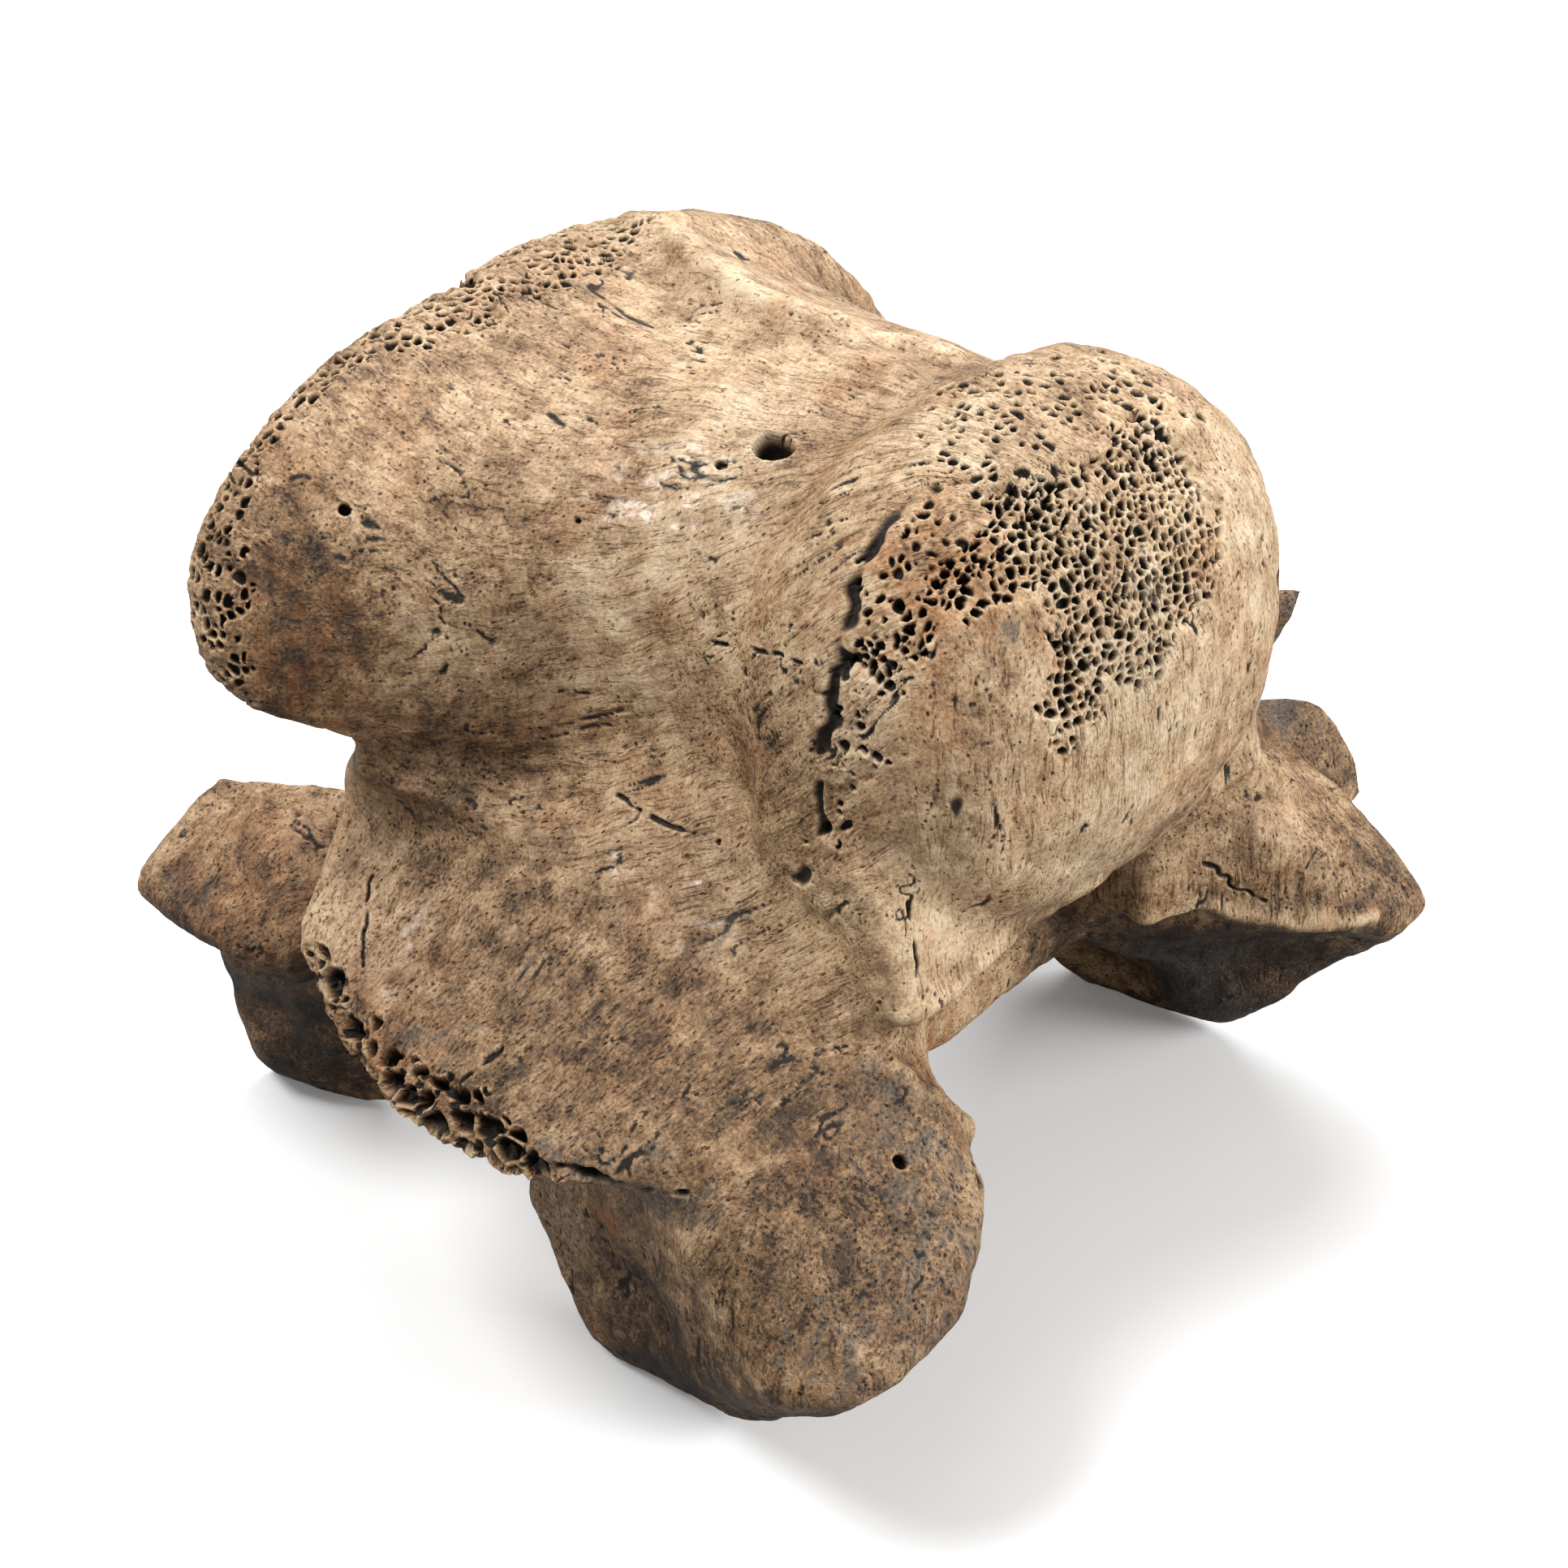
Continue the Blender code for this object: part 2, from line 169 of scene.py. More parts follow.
def edges_of(faces, count):
    """Each edge once, as two points, and for each triangle the three edges after its corners."""
    sides = np.sort(faces[:, [[0, 1], [1, 2], [2, 0]]].reshape(-1, 2), axis=1)
    found, place = np.unique(sides[:, 0] * count + sides[:, 1], return_inverse=True)
    return np.stack([found // count, found % count], axis=1), place.reshape(-1, 3)


def evened(values, faces, steps, back=0.51):
    """The values at each point moved half way to the mean of their neighbours' and then a little back out,
    `steps` times over, so that bumps go and the size stays."""
    edges, _ = edges_of(faces, len(values))
    first = np.concatenate([edges[:, 0], edges[:, 1]])
    second = np.concatenate([edges[:, 1], edges[:, 0]])
    share = 1.0 / np.bincount(first, minlength=len(values))
    for _ in range(steps):
        for pull in (0.5, -back):
            mean = [np.bincount(first, column[second], len(values)) * share for column in values.T]
            values = values + pull * (np.stack(mean, axis=1) - values)
    return values


def refined(points, faces, wanted):
    """The same surface with every edge halved while it is longer than the mean of the lengths wanted at its
    two ends: a triangle with one, two or three halved edges becomes two, three or four triangles."""
    while True:
        edges, sides = edges_of(faces, len(points))
        ends = points[edges]
        halved = np.linalg.norm(ends[:, 0] - ends[:, 1], axis=1) > wanted[edges].mean(axis=1)
        if not halved.any():
            return points, faces
        number = np.full(len(edges), -1)
        number[halved] = len(points) + np.arange(np.count_nonzero(halved))
        points = np.vstack([points, ends[halved].mean(axis=1)])
        wanted = np.concatenate([wanted, wanted[edges[halved]].mean(axis=1)])
        new = number[sides]
        cuts = np.count_nonzero(new >= 0, axis=1)
        start = np.where(cuts == 2, (np.argmin(new, axis=1) + 1) % 3, np.argmax(new >= 0, axis=1))
        order = (start[:, None] + np.arange(3)) % 3
        a, b, c = np.take_along_axis(faces, order, axis=1).T
        ab, bc, ca = np.take_along_axis(new, order, axis=1).T
        patterns = {
            0: [(a, b, c)],
            1: [(a, ab, c), (ab, b, c)],
            2: [(ab, b, bc), (a, ab, bc), (a, bc, c)],
            3: [(a, ab, ca), (ab, b, bc), (ca, bc, c), (ab, bc, ca)],
        }
        pieces = [
            np.stack([corner[cuts == kind] for corner in triangle], axis=1)
            for kind, triangles in patterns.items()
            for triangle in triangles
        ]
        faces = np.vstack(pieces)


def normals_of(points, faces):
    """At each point the sum of the cross products of its triangles' sides, made one long."""
    corner = points[faces]
    cross = np.cross(corner[:, 1] - corner[:, 0], corner[:, 2] - corner[:, 0])
    total = [np.bincount(faces.ravel(), np.repeat(cross[:, axis], 3), len(points)) for axis in range(3)]
    total = np.stack(total, axis=1)
    return total / np.maximum(np.linalg.norm(total, axis=1, keepdims=True), 1e-12)


def scatter(cells, seed):
    """A number from 0 to 1 for each whole-numbered cell, always the same one: the three indices times large
    odd numbers, with their bits mixed."""
    x, y, z = (cells[..., axis].astype(np.int64).astype(np.uint32) for axis in range(3))
    mixed = x * np.uint32(73856093) ^ y * np.uint32(19349663) ^ z * np.uint32(83492791)
    mixed ^= np.uint32(seed * 2654435761 & 0xFFFFFFFF)
    mixed = (mixed ^ (mixed >> np.uint32(15))) * np.uint32(2246822519)
    mixed = (mixed ^ (mixed >> np.uint32(13))) * np.uint32(3266489917)
    return (mixed ^ (mixed >> np.uint32(16))) / 4294967295.0


def lumps(points, size, seed):
    """Smooth random heights from -1 to 1 with bumps about `size` across, or as long as each of three sizes:
    the scatter at the eight corners of each point's grid cell, blended with 6t^5 - 15t^4 + 10t^3."""
    place = points / size
    cell = np.floor(place).astype(np.int64)
    t = place - cell
    t = t * t * t * (t * (t * 6.0 - 15.0) + 10.0)
    total = np.zeros(len(points))
    for corner in np.ndindex(2, 2, 2):
        weight = np.prod(np.where(corner, t, 1.0 - t), axis=1)
        total += weight * scatter(cell + corner, seed)
    return total * 2.0 - 1.0


def wandering(points, size, reach, seed):
    """The points moved about by up to `reach`, each way by its own lumps of one size."""
    return points + reach * np.stack([lumps(points, size, seed + axis) for axis in range(3)], axis=1)


def step(value, low, high):
    """0 below low, 1 above high and 3t^2 - 2t^3 between them."""
    t = np.clip((value - low) / (high - low), 0.0, 1.0)
    return t * t * (3.0 - 2.0 * t)


def depth_in(points, balls):
    """How far inside the nearest of some balls each point lies, in millimetres."""
    depth = np.full(len(points), -99.0)
    for x, y, z, radius in balls:
        depth = np.maximum(depth, radius - np.linalg.norm(points - (x, y, z), axis=1))
    return depth


def from_path(points, path):
    """The distance of each point from a line through the path's points."""
    nearest = np.full(len(points), 99.0)
    for start, end in zip(np.array(path[:-1]), np.array(path[1:])):
        along = np.clip((points - start) @ (end - start) / np.dot(end - start, end - start), 0.0, 1.0)
        nearest = np.minimum(nearest, np.linalg.norm(points - start - along[:, None] * (end - start), axis=1))
    return nearest


# The places where the thin shell is gone: the front of the head and its top, a strip down its neck, the edge
# of the rim, and the whole broken end of the left wing. Each row is a ball: its middle and its radius.
HEAD_OPEN = (
    (4.5, -51.4, 105.8, 6.5), (-1.9, -51.7, 105.5, 8.0), (-10.2, -52.6, 103.5, 8.0),
    (1.2, -55.3, 99.6, 7.0), (-7.1, -56.0, 97.6, 8.0), (-14.6, -55.2, 96.6, 5.0),
    (-17.0, -56.2, 92.2, 4.5), (-18.5, -56.4, 89.0, 3.0), (-13.6, -48.6, 107.3, 7.0),
    (-19.1, -47.6, 106.4, 5.0), (7.0, -53.0, 101.0, 5.0), (5.5, -47.0, 109.0, 5.0),
    (-24.7, -45.6, 105.2, 4.0), (-29.4, -43.0, 102.0, 4.0), (-31.8, -40.8, 98.8, 3.5),
)
HEAD_WORN = (
    (-19.8, -43.7, 109.1, 7.0), (-24.7, -45.6, 105.2, 5.0), (-25.9, -40.1, 106.6, 6.0),
    (-29.4, -39.8, 103.2, 5.0), (-31.8, -40.8, 98.8, 4.0), (-5.8, -32.7, 114.2, 5.0),
    (-0.2, -33.9, 114.4, 6.0), (-29.5, -44.3, 101.1, 4.0), (7.7, -35.7, 114.0, 7.0),
    (15.2, -36.9, 112.6, 6.0), (15.6, -42.2, 111.2, 6.0), (-1.7, -40.5, 113.2, 8.0),
    (4.0, -43.9, 112.2, 8.0), (-10.8, -39.9, 112.8, 8.0), (-10.1, -44.7, 111.3, 7.0),
    (17.6, -45.2, 109.4, 4.0), (-33.9, -41.0, 92.0, 3.4), (-34.4, -41.0, 87.3, 2.9),
    (-34.9, -38.2, 82.3, 2.6), (-35.2, -37.3, 77.9, 2.2), (-33.6, -41.0, 95.5, 3.4),
    (-35.8, -37.0, 75.0, 1.6),
)
RIM_WORN = (
    (14.7, 36.5, 109.8, 6.0), (6.5, 35.8, 109.9, 6.5), (0.6, 35.0, 109.6, 6.5),
    (-5.2, 35.0, 109.5, 6.5), (-11.1, 36.6, 110.1, 7.0), (-16.9, 36.9, 109.5, 6.5),
    (-22.0, 37.8, 109.2, 6.5), (-27.0, 38.4, 108.6, 6.0), (-31.6, 38.5, 107.6, 5.0),
    (-36.4, 38.8, 106.3, 4.2), (-41.0, 38.6, 104.8, 3.6), (-45.5, 37.8, 102.9, 3.4),
    (-49.5, 36.6, 100.6, 3.6), (-53.0, 35.4, 97.8, 4.2), (-56.0, 34.4, 94.8, 4.8),
    (-58.5, 33.4, 91.4, 5.2), (-60.0, 32.8, 87.0, 5.6), (-60.5, 32.5, 83.0, 5.6),
    (-60.0, 32.5, 79.0, 5.0), (-58.5, 32.5, 75.5, 3.6),
)
WING_OPEN = (
    (-60.4, 20.5, 44.0, 4.6), (-62.0, 15.5, 43.6, 4.8), (-64.0, 11.0, 43.0, 5.0),
    (-65.8, 6.1, 42.6, 5.0), (-67.0, 1.5, 42.3, 5.0), (-67.6, -3.2, 42.2, 5.0),
    (-67.4, -7.7, 42.4, 5.0), (-67.2, -11.5, 42.4, 4.8), (-67.2, -15.6, 42.0, 4.5),
    (-67.2, -19.0, 41.6, 4.0), (-67.2, -22.5, 41.0, 3.2),
)
# The holes of the vessels, each with its middle, radius, depth and the width of its funnel; then the lines
# that the cracks follow, the edge down the neck, and the torn lip of the left wing.
VESSEL_HOLES = (
    ((-15.8, -12.9, 107.1), 1.75, 3.6, 5.5),
    ((-20.0, -8.7, 105.1), 0.55, 1.0, 1.4),
    ((-44.6, 25.5, 97.2), 0.6, 1.4, 1.0),
    ((-40.8, -52.7, 43.0), 0.7, 1.6, 1.2),
    ((-30.5, 3.0, 98.0), 0.35, 0.7, 0.8),
)
CRACKS = (
    ((-50.3, 19.9, 52.8), (-55.0, 15.8, 50.3), (-59.2, 12.3, 47.9)),
    ((-59.5, -11.0, 48.6), (-63.2, -9.5, 46.6), (-67.8, -7.4, 42.6)),
    ((-32.3, -46.2, 71.0), (-32.2, -46.8, 65.9), (-32.4, -47.7, 61.0)),
    ((-31.0, -17.6, 90.6), (-33.6, -26.9, 93.8), (-33.9, -32.2, 95.0)),
    ((-35.9, -6.9, 68.4), (-36.0, -15.6, 67.9), (-34.9, -23.2, 68.5)),
    ((28.6, -44.4, 42.8), (32.0, -47.3, 38.6), (35.0, -50.4, 36.0)),
    ((-31.0, -16.0, 96.5), (-33.0, -24.0, 98.0), (-33.0, -30.0, 99.0)),
    ((-39.0, 24.0, 88.0), (-37.5, 15.0, 87.0), (-36.5, 8.0, 88.5)),
)
NECK_EDGE = (
    (-18.8, -37.5, 111.3), (-22.0, -35.9, 109.9), (-26.4, -35.7, 107.1), (-29.6, -35.9, 103.7),
    (-32.2, -37.0, 99.5), (-33.9, -37.6, 94.6), (-35.0, -37.0, 87.9), (-35.2, -36.1, 80.5),
    (-36.4, -35.9, 74.9), (-36.1, -34.2, 68.6),
)
TORN_LIP = (
    (-66.5, -22.0, 42.6), (-65.8, -25.5, 42.4), (-64.1, -28.7, 42.0), (-61.5, -32.3, 41.4),
    (-58.7, -38.0, 41.9),
)

points, faces = grown_skin(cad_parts.values())
points = evened(points, faces, EVEN_STEPS)
outward = normals_of(points, faces)
camera_mm = np.array(CAMERA_PLACE) * TO_MM
toward = np.einsum("ij,ij->i", outward, camera_mm - points) / np.linalg.norm(camera_mm - points, axis=1)
wanted = np.where(toward > 0.0, MIDDLE_EDGE, COARSE_EDGE)
close = depth_in(points, HEAD_OPEN + HEAD_WORN + RIM_WORN + WING_OPEN) > -FINE_ROUND_PLACES
for middle, radius, _, _ in VESSEL_HOLES:
    close |= np.linalg.norm(points - middle, axis=1) < max(2.0 * radius, FINE_ROUND_HOLES)
for path in CRACKS + (TORN_LIP, NECK_EDGE):
    close |= from_path(points, path) < FINE_ROUND_LINES
wanted[close] = FINE_EDGE
points, faces = refined(points, faces, wanted)
points = evened(points, faces, EVEN_AGAIN_STEPS)
outward = normals_of(points, faces)
points = points - CLOSING * outward

# Weathering all over: slow swells, the fibres of the shell running the length of each part, and fine crazing.
# The fibres run along the body, up and down on the head's face and the feet, and out along the wings.
upward_fibre = np.maximum(
    step(-points[:, 1], 43.0, 49.0) * step(points[:, 2], 48.0, 54.0),
    step(-points[:, 1], 26.0, 34.0) * step(-points[:, 2], -50.0, -42.0),
)
outward_fibre = (1.0 - upward_fibre) * step(np.abs(points[:, 0]), 38.0, 46.0)
outward_fibre *= step(-points[:, 2], -66.0, -56.0)
long_fibre = 1.0 - upward_fibre - outward_fibre
lift = 0.0067 * np.clip(25.0 - points[:, 1], 0.0, 70.0) ** 2 * step(-points[:, 0], 0.0, 20.0)
flow = points - np.stack([0.9 * lift, np.zeros(len(points)), lift], axis=1)
wavy = wandering(flow, 9.0, 1.8, 61)
fibre = (
    long_fibre * lumps(wavy, (0.9, 8.0, 0.9), 64)
    + upward_fibre * lumps(wavy, (1.0, 1.0, 7.0), 65)
    + outward_fibre * lumps(wavy, (7.0, 1.0, 1.0), 66)
)
wrinkle = long_fibre * lumps(wavy, (2.0, 17.0, 2.0), 68) * step(lumps(points, 14.0, 69), -0.5, 0.3)
patchy = lumps(points, 11.0, 67)
height = 0.36 * lumps(points, 9.0, 11) + 0.22 * lumps(points, 4.0, 12) + 0.10 * lumps(points, 1.9, 13)
height += 0.05 * lumps(points, 0.9, 14) + 0.08 * fibre * (0.8 + 0.6 * patchy) + 0.16 * wrinkle
crazing = lumps(wavy, (1.5, 19.0, 1.5), 71) * long_fibre + lumps(wavy, (1.6, 1.6, 15.0), 72) * upward_fibre
crazing += lumps(wavy, (15.0, 1.6, 1.6), 73) * outward_fibre
craze = step(-np.abs(crazing), -0.085, -0.01) * step(lumps(points, 4.5, 74) + 0.3 * patchy, 0.22, 0.5)
height -= 0.22 * craze
pit = 0.8 * craze

# The shaped edges: the keel along the top, the lip under the head, the sharp front edge of the near stalk,
# and the wavy lip of the far foot. Each is a rounded ridge along a line, and a little paler.
CREST_LINE = (
    (14.8, 33.4, 110.0), (11.9, 25.5, 110.5), (8.1, 16.8, 110.6), (5.2, 7.9, 110.8), (4.4, 1.1, 111.1),
    (5.2, -4.3, 111.0), (8.0, -8.1, 109.9), (10.0, -13.0, 108.8), (10.5, -18.0, 108.6),
)
HEAD_LIP = ((-34.9, -47.5, 57.4), (-26.2, -48.6, 56.3), (-16.5, -51.5, 58.6), (-6.8, -52.8, 62.2))
STALK_EDGE = ((-34.5, -46.9, 49.6), (-33.8, -49.2, 46.5), (-30.1, -49.9, 42.4), (-23.4, -48.4, 35.2))
FAR_LIP = (
    (22.4, -40.7, 35.8), (26.9, -42.5, 36.1), (30.8, -46.0, 35.2), (38.4, -53.3, 32.4), (42.6, -56.7, 31.7),
    (47.0, -58.8, 30.9),
)
edge_light = np.zeros(len(points))
for path, rise, width, paler in (
    (CREST_LINE, 1.5, 2.4, 0.16),
    (HEAD_LIP, 0.8, 1.6, 0.16),
    (STALK_EDGE, 1.2, 1.8, 0.08),
    (FAR_LIP, 1.2, 1.6, 0.20),
):
    away = from_path(wandering(points, 5.0, 0.8, 75), path)
    ridge = np.exp(-((away / width) ** 2))
    height += rise * ridge
    edge_light += paler * ridge


# The open spongy bone: in each place the shell is sunk and cells open in it, small and close on the head,
# large in the broken end of the wing, and scattered where the shell is only worn. Hollows are marked dark
# with dirt and painted shade.
def honeycomb(place, size, seed):
    """Random rounded cells about `size` across: how much further than the nearest cell's middle all the
    others are, as minus the log of the sum of exp(-12 d) over them, divided by 12, and two random numbers for
    the nearest cell."""
    place = place / size
    base = np.floor(place).astype(np.int64)
    cells = [base + near - 1 for near in np.ndindex(3, 3, 3)]
    away = []
    for cell in cells:
        middle = np.stack([scatter(cell, seed + axis) for axis in range(3)], axis=1)
        away.append(np.linalg.norm(place - cell - middle, axis=1))
    away = np.stack(away)
    nearest = away.argmin(axis=0)
    first = away.min(axis=0)
    others = np.exp(-12.0 * (away - first)).sum(axis=0) - 1.0
    chosen = base + np.stack(np.unravel_index(nearest, (3, 3, 3)), axis=1) - 1
    return -np.log(np.maximum(others, 1e-9)) / 12.0, scatter(chosen, seed + 5), scatter(chosen, seed + 6)


def open_cells(balls, ragged, size, wall, deepest, share, sunk, seed):
    """The depth and the darkness of open cells inside the balls, whose edge is ragged: a share of the cells
    is open, each to its own depth and width, between steep walls, and the whole place is a little sunk."""
    depth = np.zeros(len(points))
    shade = np.zeros(len(points))
    inside = depth_in(points, balls)
    here = inside > -2.0 * ragged
    near = points[here]
    inside = inside[here] + ragged * (lumps(near, 3.1, seed) + 0.6 * lumps(near, 1.3, seed + 1))
    gap, first, second = honeycomb(wandering(near, size * 1.7, 0.22 * size, seed + 7), size, seed + 2)
    is_open = first < share * step(inside, -0.2, 1.6)
    hollow = step(gap, wall + 0.12 * second, wall + 0.26 + 0.12 * second) * is_open
    broken = 0.16 * lumps(near, 0.8, seed + 10) + 0.12 * lumps(near, 2.1, seed + 11)
    depth[here] = deepest * hollow * (0.55 + 0.45 * second) + (sunk + broken) * step(inside, 0.0, 0.9)
    shade[here] = hollow
    return depth, shade


sponge = np.zeros(len(points))
for balls, ragged, size, wall, deepest, share, sunk, seed in (
    (HEAD_OPEN, 1.3, 1.22, 0.03, 1.7, 1.0, 0.45, 121),
    (HEAD_WORN, 2.2, 1.40, 0.09, 1.2, 0.66, 0.10, 231),
    (RIM_WORN, 1.5, 1.40, 0.05, 1.4, 0.80, 0.25, 341),
    (WING_OPEN, 0.5, 3.7, 0.0, 3.6, 1.0, 0.4, 451),
    (WING_OPEN, 0.5, 1.5, 0.06, 0.9, 0.5, 0.0, 561),
):
    depth, shade = open_cells(balls, ragged, size, wall, deepest, share, sunk, seed)
    height -= depth
    pit = np.maximum(pit, shade)
    sponge = np.maximum(sponge, step(depth_in(points, balls), -1.0, 0.5))

# The vessel holes in the shell, each a round hole in a shallow funnel, the long drying cracks, the step down
# the neck, the notch in the rim, and the deep crevice under the torn lip of the left wing.
for middle, radius, deep, funnel in VESSEL_HOLES:
    away = np.linalg.norm((points - middle) * (1.0, 0.75, 1.0), axis=1)
    hole = 1.0 - step(away, 0.75 * radius, 1.25 * radius)
    height -= deep * hole + 0.25 * radius * np.exp(-((away / funnel) ** 2))
    pit = np.maximum(pit, hole)
for path in CRACKS:
    away = from_path(wandering(points, 1.6, 0.45, 81), path)
    line = 1.0 - step(away, 0.08, 0.38)
    height -= 0.55 * line
    pit = np.maximum(pit, line)
away = from_path(wandering(points, 2.2, 1.1, 87), NECK_EDGE)
line = (1.0 - step(away, 0.2, 1.3)) * step(lumps(points, 3.5, 88), -0.7, 0.1)
height -= 0.9 * line
pit = np.maximum(pit, 0.85 * line)
RIM_NOTCH = (-11.5, 41.0, 109.0)
away = np.linalg.norm(wandering(points, 2.0, 0.7, 89) - RIM_NOTCH, axis=1)
height -= 2.4 * (1.0 - step(away, 1.6, 3.6))
away = from_path(wandering(wandering(points, 4.0, 1.1, 84), 1.2, 0.5, 87), TORN_LIP)
line = (1.0 - step(away, 0.25, 1.1)) * step(lumps(points, 3.0, 90), -1.0, -0.4)
height -= 1.9 * line
pit = np.maximum(pit, line)

# How the surface is worn: the tops of bumps are rubbed pale and hollows hold dirt. A place counts as a top or
# a hollow by how far it stands above or below the same relief smoothed.
SLOW_STEPS = 6
WEAR_PER_MM = 3.0
slow = evened(height[:, None], faces, SLOW_STEPS, back=0.0)[:, 0]
worn = np.clip((height - slow) * WEAR_PER_MM, -1.0, 1.0)
points = points + height[:, None] * outward
normals = normals_of(points, faces)


def spot_sum(spots, reach):
    """The sum over the spots of amount times exp(-(distance / radius)^2), with wandering edges."""
    total = np.zeros(len(points))
    place = wandering(points, 6.0, reach, 91)
    place = wandering(place, 1.8, 0.35 * reach, 94)
    for x, y, z, radius, amount in spots:
        total += amount * np.exp(-(((place - (x, y, z)) / radius) ** 2).sum(axis=1))
    return total


# The colour of each place: paler on the crest, the right of the head and the wing's shoulder; darker under
# the rim, in the waist and on the feet; charcoal on the front feet; rust in a few spots; wet-looking on the
# flank. Painted light makes the front of the head and the flank paler, and painted shade darkens the
# underside of the tongue and of the far foot near the floor, there also in the charcoal colours. Each row is
# a round spot: its middle, its radius and how strong it is.
LIGHTER = (
    (10.0, 12.0, 111.0, 15.0, 0.16), (11.5, 27.8, 110.0, 10.0, 0.12),
    (-6.0, 0.0, 108.0, 12.0, 0.08), (-15.9, -33.0, 112.4, 8.0, 0.16),
    (20.0, -50.0, 100.0, 10.0, 0.16), (24.0, -52.0, 85.0, 14.0, 0.14),
    (20.9, -48.4, 60.0, 14.0, 0.08), (-9.5, -58.6, 85.6, 9.0, 0.04),
    (-56.7, 18.3, 48.9, 6.0, 0.16), (-52.0, 24.0, 56.0, 7.0, 0.10),
    (-44.0, 30.0, 98.0, 7.0, 0.06), (-26.0, -8.0, 100.0, 14.0, 0.06),
    (-50.9, 25.3, 90.3, 11.0, -0.17), (-54.5, 26.0, 84.0, 9.0, -0.12),
    (-35.2, 0.9, 77.9, 10.0, -0.10), (-42.4, 15.2, 67.8, 11.0, -0.15),
    (-62.7, -1.2, 46.7, 7.0, -0.12), (-61.0, -14.0, 45.0, 8.0, -0.10),
    (-58.8, -43.6, 15.7, 20.0, -0.22), (-55.0, -28.0, 13.0, 15.0, -0.18),
    (-48.8, -58.2, 36.4, 14.0, -0.12), (-58.0, 0.0, 48.5, 13.0, -0.15),
    (-50.0, -18.0, 50.0, 13.0, -0.14), (-46.0, -42.0, 46.0, 12.0, -0.22),
    (-45.0, -55.0, 30.0, 14.0, -0.12), (-52.0, 45.0, 40.0, 16.0, -0.14),
    # Painted light and painted shade: the spots at (-5, -57, 80), (-24, -50, 70) and (-29, -4, 88) make the
    # front of the head and the flank paler; those at (-48, 50, 14), (-48, 45, 15), (31.7, -33.9, 21.2) and
    # (44.3, -38.9, 10.0) darken the underside of the tongue and of the far foot near the floor.
    (-5.0, -57.0, 80.0, 26.0, 0.20), (-24.0, -50.0, 70.0, 16.0, 0.16),
    (-29.0, -4.0, 88.0, 17.0, 0.12), (55.0, -45.0, 40.0, 22.0, -0.10),
    (-48.0, 50.0, 14.0, 20.0, -0.20), (60.5, -35.8, 62.7, 16.0, -0.12),
    (57.0, -34.8, 46.8, 16.0, -0.10), (31.7, -33.9, 21.2, 16.0, -0.28),
    (44.3, -38.9, 10.0, 22.0, -0.32), (-48.0, 45.0, 15.0, 22.0, -0.25),
    (-50.0, 44.1, 39.4, 14.0, -0.03),
)
CHARRED_AND_SHADED = (
    (-38.7, -48.6, 46.4, 8.0, 0.26), (-38.0, -58.4, 38.7, 11.0, 0.30),
    (-46.9, -63.4, 33.6, 11.0, 0.28), (-38.7, -53.3, 43.2, 8.0, 0.18),
    (-30.1, -48.7, 43.5, 4.0, 0.35), (-59.0, -55.4, 31.4, 8.0, 0.30),
    (-62.7, -1.2, 46.7, 5.0, 0.4), (-55.0, -9.0, 50.0, 8.0, 0.25),
    (-23.3, -50.6, 100.1, 3.0, 0.5), (60.5, -35.8, 62.7, 9.0, 0.6),
    # Painted shade: the spots at (44.3, -38.9, 10.0) and (31.7, -33.9, 21.2) darken the underside of the far
    # foot near the floor in the charcoal colours.
    (57.0, -34.8, 50.0, 9.0, 0.5), (44.3, -38.9, 10.0, 12.0, 0.7),
    (31.7, -33.9, 21.2, 9.0, 0.6), (-64.1, -28.7, 42.0, 4.0, 0.7),
    (-61.5, -32.3, 41.4, 4.0, 0.7), (-58.7, -38.0, 41.9, 4.0, 0.7),
    (-66.0, -24.0, 42.0, 3.5, 0.5), (-50.0, -62.0, 20.0, 8.0, 0.45),
    (-2.0, -54.0, 100.0, 6.0, 0.35), (-40.0, -28.0, 47.0, 8.0, 0.2),
)
RUSTED = (
    (-55.3, -22.9, 27.7, 4.2, 1.5), (-54.5, 26.0, 85.4, 7.0, 0.30),
    (-50.4, 22.2, 75.4, 6.0, 0.30), (-5.1, -29.4, 26.0, 9.0, 0.35),
    (-2.4, -14.2, 110.0, 5.0, 0.25), (-24.7, -45.6, 105.2, 7.0, 0.40),
    (-50.0, 44.1, 39.4, 12.0, 0.30), (-29.4, -39.8, 103.2, 6.0, 0.40),
    (-66.5, 2.0, 42.0, 9.0, 0.35), (-63.5, 13.0, 43.0, 7.0, 0.35),
    (-30.0, -52.0, 38.0, 5.0, 0.3),
)
GLOSSY = (
    (-25.8, -7.2, 100.7, 8.0, 1.0), (-56.6, 11.5, 49.7, 5.0, 1.0),
    (-18.9, -9.5, 105.7, 4.0, 1.0), (-38.7, -11.9, 64.4, 5.0, 0.9),
    (-37.5, -23.0, 64.9, 6.0, 1.0), (-32.1, -4.2, 91.1, 9.0, 0.5),
)
light = spot_sum(LIGHTER, 2.5) + 0.05 * patchy + 0.05 * lumps(points, 5.0, 95)
# Painted shade: faces that turn downward are made darker.
light -= 0.10 * step(-normals[:, 2], -0.1, 0.7)
light += 0.05 * sponge + edge_light - 0.16 * step(depth_in(points, WING_OPEN), -1.0, 0.5)
light -= 0.06 * step(depth_in(points, RIM_WORN), -1.0, 0.5)
marks = {
    "light": light,
    "worn": worn,
    "pit": pit,
    "charcoal_and_shade": np.clip(spot_sum(CHARRED_AND_SHADED, 3.0), 0.0, 1.0),
    "rust": np.clip(spot_sum(RUSTED, 2.5), 0.0, 1.0),
    "gloss": np.clip(spot_sum(GLOSSY, 3.5), 0.0, 1.0),
}
fibres = np.stack([outward_fibre, long_fibre, upward_fibre], axis=1)
vectors = {"fibres": fibres, "flow": flow / TO_MM}
